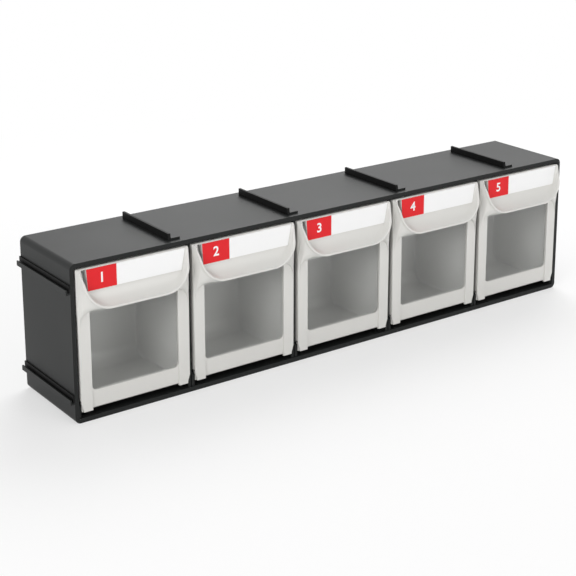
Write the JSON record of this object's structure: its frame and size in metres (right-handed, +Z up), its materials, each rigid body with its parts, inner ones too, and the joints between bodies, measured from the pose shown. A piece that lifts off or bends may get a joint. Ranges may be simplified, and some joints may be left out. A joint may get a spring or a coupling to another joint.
{
  "type": "tilt-out small parts bin strip",
  "caption": "Long grey plastic housing with a row of white tilt-out tubs behind clear windows in white frames with scooped handles and labels, for small stock.",
  "frame": {"origin": "middle of the flat underside", "axes": "+X along the row to the right as seen from the front, fronts face -Y, +Z up"},
  "size_m": [0.6043, 0.1115, 0.1565],
  "materials": {
    "housing_plastic": "fine moulded grain, dark grey",
    "strip_plastic": "black, matt",
    "frame_plastic": "off-white, satin moulded",
    "tub_plastic": "off-white, satin moulded",
    "window_clear": "clear sheet, glossy",
    "label_card": "white card",
    "index_red": "red, printed"
  },
  "bodies": {
    "cabinet": {"housing": "housing_plastic", "top_strip_1": "strip_plastic", "top_strip_2": "strip_plastic", "top_strip_3": "strip_plastic", "top_strip_4": "strip_plastic", "side_strip_upper": "strip_plastic", "side_strip_lower": "strip_plastic"},
    "bin_1": {"bin_frame_1": "frame_plastic", "window_pane_1": "window_clear", "bin_tub_1": "tub_plastic", "label_card_1": "label_card", "index_sticker_1": "index_red"},
    "bin_2": {"bin_frame_2": "frame_plastic", "window_pane_2": "window_clear", "bin_tub_2": "tub_plastic", "label_card_2": "label_card", "index_sticker_2": "index_red"},
    "bin_3": {"bin_frame_3": "frame_plastic", "window_pane_3": "window_clear", "bin_tub_3": "tub_plastic", "label_card_3": "label_card", "index_sticker_3": "index_red"},
    "bin_4": {"bin_frame_4": "frame_plastic", "window_pane_4": "window_clear", "bin_tub_4": "tub_plastic", "label_card_4": "label_card", "index_sticker_4": "index_red"},
    "bin_5": {"bin_frame_5": "frame_plastic", "window_pane_5": "window_clear", "bin_tub_5": "tub_plastic", "label_card_5": "label_card", "index_sticker_5": "index_red"}
  },
  "joints": [
    {"name": "tilt_1", "type": "hinge", "parent": "cabinet", "child": "bin_1", "pos_m": [-0.2376, -0.043, 0.014], "axis": [1, 0, 0], "range_deg": [0, 39]},
    {"name": "tilt_2", "type": "hinge", "parent": "cabinet", "child": "bin_2", "pos_m": [-0.1188, -0.043, 0.014], "axis": [1, 0, 0], "range_deg": [0, 39]},
    {"name": "tilt_3", "type": "hinge", "parent": "cabinet", "child": "bin_3", "pos_m": [0, -0.043, 0.014], "axis": [1, 0, 0], "range_deg": [0, 39]},
    {"name": "tilt_4", "type": "hinge", "parent": "cabinet", "child": "bin_4", "pos_m": [0.1188, -0.043, 0.014], "axis": [1, 0, 0], "range_deg": [0, 39]},
    {"name": "tilt_5", "type": "hinge", "parent": "cabinet", "child": "bin_5", "pos_m": [0.2376, -0.043, 0.014], "axis": [1, 0, 0], "range_deg": [0, 39]}
  ]
}
